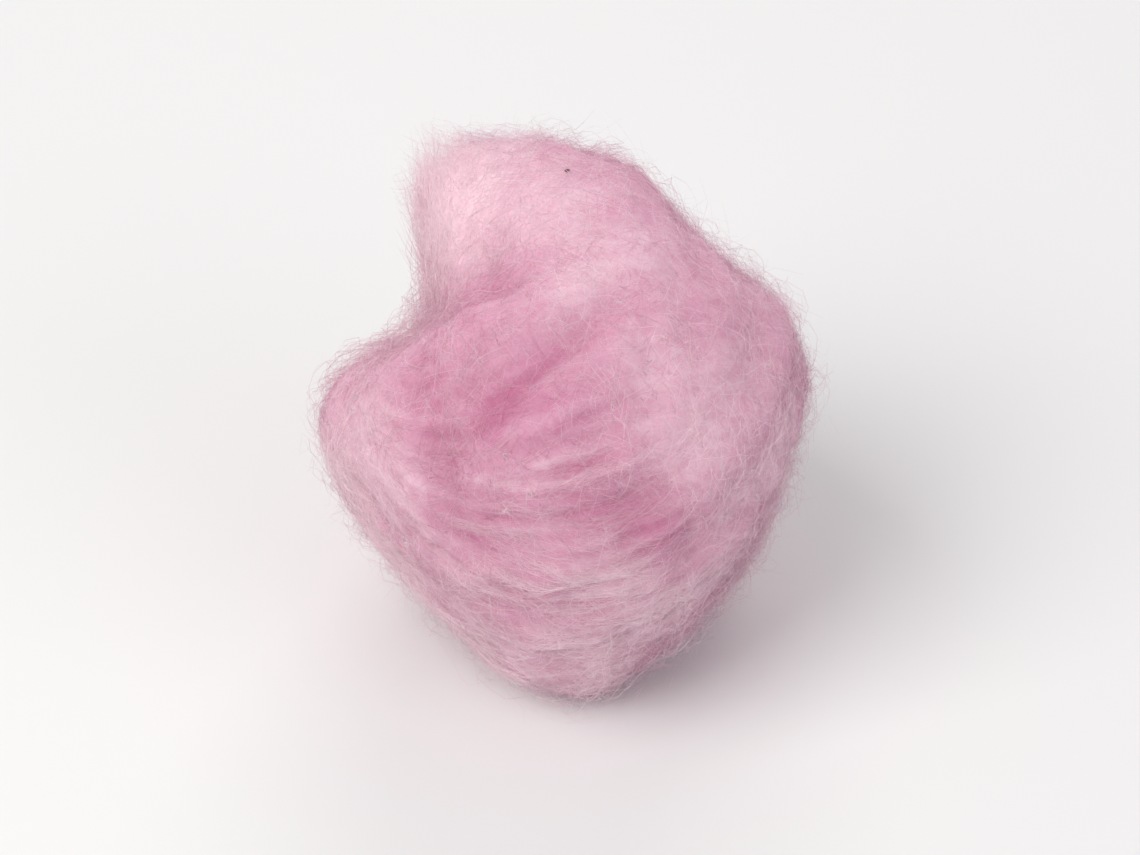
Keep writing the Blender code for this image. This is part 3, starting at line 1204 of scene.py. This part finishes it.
    def gathered(self, paths: np.ndarray) -> np.ndarray:
        """Draws the fibres of each lock together towards their tips, into a pointed wisp.

        Formula: the lock's mean path, plus each fibre's distance from it times one less gather times how far
        along the fibre it is.

        Args:
            paths: fibres by rings by three.

        Returns:
            The same shape.
        """
        kind = self.kind
        locks = paths.reshape(kind.locks, kind.per_lock, kind.rings, 3)
        mean = locks.mean(axis=1, keepdims=True)
        along = np.linspace(0.0, 1.0, kind.rings)[:, None]
        return (mean + (locks - mean) * (1.0 - kind.gather * along)).reshape(paths.shape)

    def build(self) -> bpy.types.Object:
        """Makes the fibres as closed three-sided tapered tubes and dresses them.

        Returns:
            The finished piece.
        """
        kind, habits = self.kind, self.habits
        directions, lifts = self.paths()
        count = len(directions)
        flat = directions.reshape(-1, 3)
        outward = flat @ self.form.axes
        strands = self.form.combed(flat)
        surface = self.form.shape(flat, strands)
        wobble = self.draw.normal(scale=habits.wobble, size=flat.shape)
        lifted = surface + outward * lifts.reshape(-1, 1) + wobble
        lifted = self.gathered(lifted.reshape(count, kind.rings, 3)).reshape(-1, 3)
        points = self.form.stand(lifted, clearance=kind.thickness[1]).reshape(count, kind.rings, 3)
        radii = self.draw.uniform(*kind.thickness, (count, 1)) / 2.0 * self.taper()
        vertices, triangles, places = tubes(points, radii, self.draw)
        tint = np.repeat(self.draw.uniform(*kind.tint, kind.locks), kind.per_lock)
        tint = tint + self.draw.normal(scale=habits.own_tint, size=count)
        # Each fibre takes on the painted crease shade and highlight of the body under it.
        base = paleness(self.form, flat, strands).reshape(count, kind.rings) - BASE_PALENESS
        pale = np.repeat((tint[:, None] + base).reshape(-1), SIDES)
        piece = make_mesh(kind.name, vertices, triangles, places, {"paleness": pale})
        piece.data.materials.append(SingleFibreFinish(kind.name + "_cotton").make())
        piece.visible_shadow = False
        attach(piece, ROOT_BODY)
        return piece


SIDES = 3
SQUARE_MARGIN = 0.12
END_SPOTS = ((0.0, 0.0, 0.3, 0.05, 0.6, 0.0), (0.0, 1.0, 0.3, 0.95, 0.6, 1.0))


def tubes(
    paths: np.ndarray, radii: np.ndarray, draw: np.random.Generator
) -> tuple[np.ndarray, np.ndarray, np.ndarray]:
    """Closed three-sided tubes along paths.

    Formula: each ring's three corners stand at a third of a turn from each other in the plane square to the
    path; rings are joined by two triangles a side, and one triangle closes each end. On the map each tube
    has its own small square, with its length up the square and its sides across it.

    Args:
        paths: fibres by rings by three.
        radii: fibres by rings, in metres.
        draw: for the turn of each tube about its path.

    Returns:
        Points, triangles and map places for each triangle corner.
    """
    count, rings, _ = paths.shape
    tangents = unit(np.gradient(paths, axis=1))
    mean = unit(paths[:, -1] - paths[:, 0])
    guide = unit(np.cross(mean, draw.normal(size=(count, 3))))[:, None, :]
    first = unit(np.cross(tangents, guide))
    second = np.cross(tangents, first)
    angles = np.arange(SIDES) * 2.0 * math.pi / SIDES
    spokes = first[:, :, None] * np.cos(angles)[:, None] + second[:, :, None] * np.sin(angles)[:, None]
    points = (paths[:, :, None] + radii[:, :, None, None] * spokes).reshape(-1, 3)
    ring, side = np.meshgrid(np.arange(rings - 1), np.arange(SIDES), indexing="ij")
    ring, side = ring.ravel(), side.ravel()
    low_a, low_b = ring * SIDES + side, ring * SIDES + (side + 1) % SIDES
    high_a, high_b = low_a + SIDES, low_b + SIDES
    last = SIDES * (rings - 1)
    one = np.concatenate(
        (
            np.stack((low_a, low_b, high_b), axis=1),
            np.stack((low_a, high_b, high_a), axis=1),
            np.array(((0, 2, 1), (last, last + 1, last + 2))),
        )
    )
    up, up_next = ring / (rings - 1), (ring + 1) / (rings - 1)
    across, across_next = side / SIDES, (side + 1) / SIDES
    spots = np.concatenate(
        (
            np.stack((across, up, across_next, up, across_next, up_next), axis=1),
            np.stack((across, up, across_next, up_next, across, up_next), axis=1),
            np.array(END_SPOTS),
        )
    ).reshape(-1, 2)
    triangles = (one[None] + (np.arange(count) * rings * SIDES)[:, None, None]).reshape(-1, 3)
    squares = math.ceil(math.sqrt(count))
    corner = np.stack((np.arange(count) % squares, np.arange(count) // squares), axis=1)
    places = (corner[:, None] + SQUARE_MARGIN + (1.0 - 2.0 * SQUARE_MARGIN) * spots[None]) / squares
    return points, triangles, places.reshape(-1, 2)


WOUND_A = FibreKind(
    name="wound_fibres_a", lay=Lay.WOUND, locks=380, per_lock=9, rings=5,
    length=(0.0030, 0.0065), thickness=(0.000022, 0.000038), lift=(0.00002, 0.00022), tuck=0.00010,
    lock_spread=0.00045, swirl=0.20, curl=0.36, tint=(0.32, 0.56), seed=101,
)
WOUND_B = FibreKind(
    name="wound_fibres_b", lay=Lay.WOUND, locks=1350, per_lock=3, rings=5,
    length=(0.0026, 0.0055), thickness=(0.000022, 0.000036), lift=(0.00003, 0.00034), tuck=0.00010,
    lock_spread=0.00080, swirl=0.60, curl=0.80, tint=(0.32, 0.64), seed=102,
)
ARC_STRANDS = FibreKind(
    name="arc_strands", lay=Lay.ARC, locks=76, per_lock=9, rings=7,
    length=(0.0040, 0.0085), thickness=(0.000024, 0.000040), lift=(0.00010, 0.00034), tuck=0.00010,
    lock_spread=0.00022, swirl=0.12, curl=0.22, tint=(0.60, 0.84), seed=109,
    place=(0.05, -0.56, 0.80), place_spread=0.34,
)
TANGLE = FibreKind(
    name="tangled_fibres", lay=Lay.TANGLE, locks=4900, rings=5,
    length=(0.0020, 0.0048), thickness=(0.000022, 0.000036), lift=(0.00012, 0.00065), tuck=0.00008,
    curl=1.6, tint=(0.42, 0.86), seed=108,
)
RIM = FibreKind(
    name="rim_fibres", lay=Lay.RIM, locks=110, per_lock=10, rings=5,
    length=(0.0045, 0.0090), thickness=(0.000024, 0.000042), lift=(0.00016, 0.00075), tuck=0.00012,
    lock_spread=0.00034, swirl=0.14, curl=0.30, tint=(0.70, 1.14), seed=103,
)
FUZZ = FibreKind(
    name="fuzz_fibres", lay=Lay.FUZZ, locks=7200, rings=4,
    length=(0.0020, 0.0044), thickness=(0.000022, 0.000032), lift=(0.00035, 0.00130), tuck=0.00010,
    curl=1.2, tint=(0.40, 0.75), seed=104,
)
HALO = FibreKind(
    name="halo_fibres", lay=Lay.FUZZ, locks=3600, rings=5,
    length=(0.0026, 0.0052), thickness=(0.000020, 0.000028), lift=(0.00060, 0.00250), tuck=0.00012,
    curl=1.7, tint=(0.66, 1.10), seed=111,
)
LOOPS = FibreKind(
    name="looped_fibres", lay=Lay.TANGLE, locks=2600, rings=7,
    length=(0.0036, 0.0064), thickness=(0.000020, 0.000028), lift=(0.00040, 0.00170), tuck=0.00012,
    curl=1.3, tint=(0.62, 1.05), seed=113,
)
WAIST_FIBRES = FibreKind(
    name="waist_fibres", lay=Lay.TANGLE, locks=500, rings=7,
    length=(0.0042, 0.0072), thickness=(0.000020, 0.000030), lift=(0.00060, 0.00230), tuck=0.00012,
    curl=1.0, tint=(0.62, 1.05), seed=114,
    place=(-0.76, 0.63, 0.16), place_spread=0.22,
)
PILE = FibreKind(
    name="pile_fibres", lay=Lay.FUZZ, locks=2400, rings=4,
    length=(0.0009, 0.0020), thickness=(0.000022, 0.000034), lift=(0.00030, 0.00090), tuck=0.00008,
    curl=1.0, tint=(0.40, 0.75), seed=105,
)
TUFT_FIBRES = FibreKind(
    name="tuft_fibres", lay=Lay.TUFT, locks=210, per_lock=12, rings=5,
    length=(0.0025, 0.0060), thickness=(0.000022, 0.000034), lift=(0.00050, 0.00240), tuck=0.00015,
    lock_spread=0.00080, swirl=0.80, curl=1.2, tint=(0.24, 0.78), seed=106,
    place=(-0.42, 0.86, 0.28), place_spread=0.26, gather=0.45,
)
CORNER_WISPS = FibreKind(
    name="corner_wisps", lay=Lay.TUFT, locks=44, per_lock=18, rings=5,
    length=(0.0026, 0.0050), thickness=(0.000028, 0.000042), lift=(0.00150, 0.00460), tuck=0.00030,
    lock_spread=0.00090, swirl=0.90, curl=0.8, tint=(0.36, 0.76), seed=112,
    place=(-0.47, 0.87, 0.12), place_spread=0.09, gather=0.60,
)
NEPS = FibreKind(
    name="nep_knots", lay=Lay.TANGLE, locks=64, per_lock=7, rings=7,
    length=(0.0009, 0.0018), thickness=(0.000030, 0.000048), lift=(0.00020, 0.00050), tuck=0.00006,
    lock_spread=0.00012, curl=3.2, tint=(0.84, 1.00), seed=110,
)
STRAYS = FibreKind(
    name="stray_fibres", lay=Lay.STRAY, locks=460, rings=7,
    length=(0.0040, 0.0090), thickness=(0.000020, 0.000030), lift=(0.00040, 0.00220), tuck=0.00012,
    curl=0.9, tint=(0.62, 1.10), seed=107,
)
KINDS = (
    WOUND_A, WOUND_B, ARC_STRANDS, TANGLE, RIM, FUZZ, HALO, LOOPS, WAIST_FIBRES, PILE, TUFT_FIBRES,
    CORNER_WISPS, NEPS, STRAYS,
)


@dataclass(frozen=True)
class SeedFinish:
    """The dull brown of a broken seed coat."""

    name: str = "seed_coat"
    colour: Triple = (0.17, 0.09, 0.085)
    roughness: float = 0.7
    specular: float = 0.2

    def make(self) -> bpy.types.Material:
        """Builds the material from plain values.

        Returns:
            The material.
        """
        shade = Shade(self.name)
        shade.shader.inputs["Base Color"].default_value = (*self.colour, 1.0)
        shade.shader.inputs["Roughness"].default_value = self.roughness
        shade.shader.inputs["Specular IOR Level"].default_value = self.specular
        return shade.material


@dataclass
class SeedSpecks:
    """Specks of seed coat that were left in the cotton, such as the one on the tuft."""

    form: BallForm
    places: tuple[Triple, ...] = ((0.01, 0.93, 0.36),)
    lengths: tuple[float, ...] = (0.00040,)
    width_share: float = 0.6
    lift: float = 0.00022
    grid: SphereGrid = field(default_factory=lambda: SphereGrid(cells=4))
    finish: SeedFinish = SeedFinish()

    def build(self) -> bpy.types.Object:
        """Makes every speck: a small ellipsoid whose middle stands just off the ball's surface.

        Formula: the grid's directions times half the length along one axis and half the width along the
        others, plus the ball's point at the speck's place and a lift along its direction.

        Returns:
            The finished piece.
        """
        directions, triangles, spots = self.grid.build()
        at = unit(np.array(self.places))
        on_ball = self.form.shape(at, self.form.combed(at))
        middles = self.form.stand(on_ball + self.lift * (at @ self.form.axes))
        half_sizes = np.array((1.0, self.width_share, self.width_share)) / 2.0
        sizes = np.array(self.lengths)[:, None, None]
        points = (middles[:, None] + directions[None] * half_sizes * sizes).reshape(-1, 3)
        count = len(at)
        numbers = (triangles[None] + (np.arange(count) * len(directions))[:, None, None]).reshape(-1, 3)
        columns = np.column_stack((np.arange(count), np.zeros(count)))
        places = ((spots[None] + columns[:, None]) / count).reshape(-1, 2)
        piece = make_mesh("seed_specks", points, numbers, places, {})
        piece.data.materials.append(self.finish.make())
        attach(piece, ROOT_BODY)
        return piece


@dataclass(frozen=True)
class Lamp:
    """A square lamp that faces the ball: its place, side, watts and colour."""

    name: str
    place: Triple
    size: float
    power: float
    colour: Triple


LAMPS = (
    Lamp("key_light", (-0.22, -0.16, 0.34), 0.30, 1.24, (1.0, 0.98, 0.96)),
    Lamp("fill_light", (0.34, -0.26, 0.20), 0.34, 0.50, (0.95, 0.96, 1.0)),
    Lamp("back_light", (0.05, 0.34, 0.26), 0.28, 0.54, (1.0, 0.99, 0.98)),
)


@dataclass
class Studio:
    """Floor, lights, surroundings and the camera at the photograph's angle."""

    elevation: float = math.radians(38.0)
    distance: float = 0.42
    lens: float = 200.0
    nearest: float = 0.01
    aim: Triple = (0.0003, 0.0, 0.0148)
    floor_reach: float = 3.0
    floor_colour: Triple = (0.86, 0.855, 0.85)
    floor_roughness: float = 0.9
    floor_specular: float = 0.1
    world_colour: Triple = (0.93, 0.94, 0.96)
    world_strength: float = 0.42

    def build(self) -> None:
        """Makes all of it."""
        self.floor()
        self.world()
        for lamp in LAMPS:
            self.hang(lamp)
        self.camera()

    def floor(self) -> None:
        """A wide flat floor."""
        mesh = bpy.data.meshes.new("studio_floor")
        far = self.floor_reach
        corners = [(-far, -far, 0.0), (far, -far, 0.0), (far, far, 0.0), (-far, far, 0.0)]
        mesh.from_pydata(corners, [], [(0, 1, 2, 3)])
        shade = Shade("studio_floor_paint")
        shade.shader.inputs["Base Color"].default_value = (*self.floor_colour, 1.0)
        shade.shader.inputs["Roughness"].default_value = self.floor_roughness
        shade.shader.inputs["Specular IOR Level"].default_value = self.floor_specular
        mesh.materials.append(shade.material)
        floor = bpy.data.objects.new("studio_floor", mesh)
        bpy.context.scene.collection.objects.link(floor)

    def world(self) -> None:
        """Even pale light from all round."""
        world = bpy.data.worlds.new("studio_world")
        world.use_nodes = True
        background = world.node_tree.nodes["Background"]
        background.inputs["Color"].default_value = (*self.world_colour, 1.0)
        background.inputs["Strength"].default_value = self.world_strength
        bpy.context.scene.world = world

    def hang(self, lamp: Lamp) -> None:
        """Puts a lamp in its place, turned to the ball.

        Args:
            lamp: which one.
        """
        data = bpy.data.lights.new(lamp.name, "AREA")
        data.size = lamp.size
        data.energy = lamp.power
        data.color = lamp.colour
        light = bpy.data.objects.new(lamp.name, data)
        light.location = lamp.place
        light.rotation_euler = self.turned_to(lamp.place)
        bpy.context.scene.collection.objects.link(light)

    def turned_to(self, place: Triple) -> mathutils.Euler:
        """The turn that points an object's -Z from a place at the aim."""
        towards = mathutils.Vector(self.aim) - mathutils.Vector(place)
        return towards.to_track_quat("-Z", "Y").to_euler()

    def camera(self) -> None:
        """A long lens, looking down at the face."""
        data = bpy.data.cameras.new("camera")
        data.lens = self.lens
        data.clip_start = self.nearest
        camera = bpy.data.objects.new("camera", data)
        height = self.aim[2] + self.distance * math.sin(self.elevation)
        back = self.aim[1] - self.distance * math.cos(self.elevation)
        camera.location = (self.aim[0], back, height)
        camera.rotation_euler = self.turned_to(tuple(camera.location))
        bpy.context.scene.collection.objects.link(camera)
        bpy.context.scene.camera = camera


def main() -> None:
    """Builds the ball and the studio, and notes each piece's triangle count."""
    logging.basicConfig(level=logging.INFO, format="%(name)s: %(message)s")
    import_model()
    scene = bpy.context.scene
    scene.view_settings.view_transform = "Standard"
    form = BallForm()
    for part in (BallBody(form), *(FibreLayer(form, kind) for kind in KINDS), SeedSpecks(form)):
        piece = part.build()
        log.info("%s has %d triangles", piece.name, len(piece.data.polygons))
    Studio().build()


if __name__ == "__main__":
    main()
